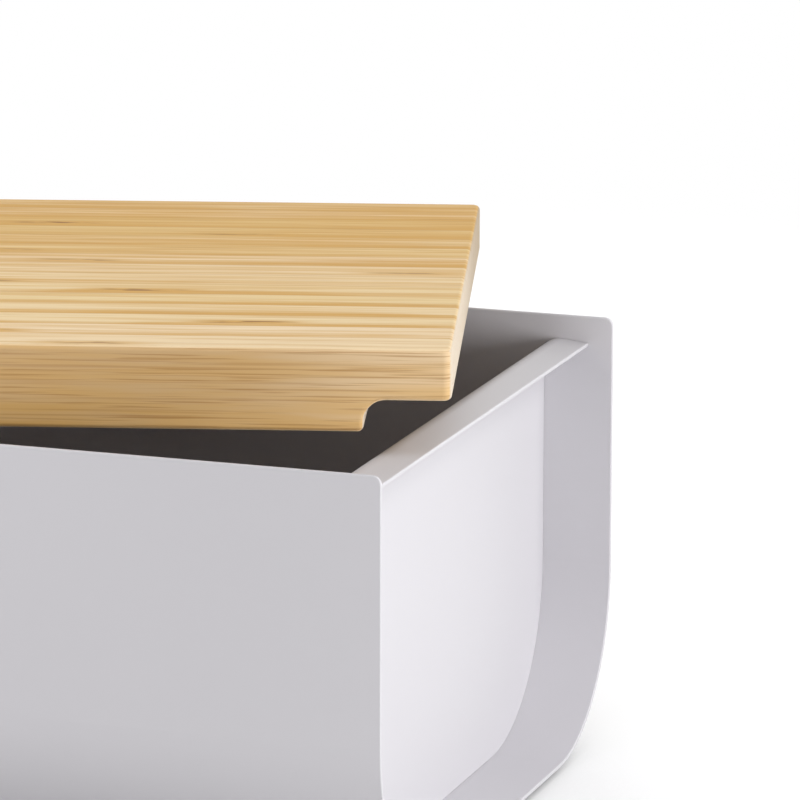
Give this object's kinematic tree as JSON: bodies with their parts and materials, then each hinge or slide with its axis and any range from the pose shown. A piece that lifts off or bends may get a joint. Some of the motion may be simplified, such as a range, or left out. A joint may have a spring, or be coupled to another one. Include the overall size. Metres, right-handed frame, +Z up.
{
  "type": "bread box",
  "caption": "Pale steel bread box folded as a trough with recessed end panels and outward hand grips, closed by a loose rebated bamboo lid that serves as a cutting board.",
  "frame": {"origin": "on the table under the middle of the box, at the level of the pads' undersides", "axes": "+X along the length to the right-hand end, +Y towards the back wall, +Z up"},
  "size_m": [0.3828, 0.2914, 0.1502],
  "materials": {
    "paint": "satin powder coat, very fine orange peel",
    "bamboo": "fine sanded and oiled, straight fibres",
    "foot_rubber": "matt"
  },
  "bodies": {
    "box": {"wrap_shell": "paint", "end_panel_left": "paint", "end_panel_right": "paint", "weld_bead_left": "paint", "weld_bead_right": "paint", "foot_front_left": "foot_rubber", "foot_front_right": "foot_rubber", "foot_back_left": "foot_rubber", "foot_back_right": "foot_rubber"},
    "lid": {"lid_stave_01": "bamboo", "lid_stave_02": "bamboo", "lid_stave_03": "bamboo", "lid_stave_04": "bamboo", "lid_stave_05": "bamboo", "lid_stave_06": "bamboo", "lid_stave_07": "bamboo", "lid_stave_08": "bamboo", "lid_stave_09": "bamboo", "lid_stave_10": "bamboo", "lid_stave_11": "bamboo", "lid_stave_12": "bamboo", "lid_stave_13": "bamboo", "lid_stave_14": "bamboo", "lid_stave_15": "bamboo"}
  },
  "joints": [
    {"name": "lid_lift", "type": "slide", "parent": "box", "child": "lid", "axis": [0, 0, 1], "range_m": [0, 0.15]}
  ]
}
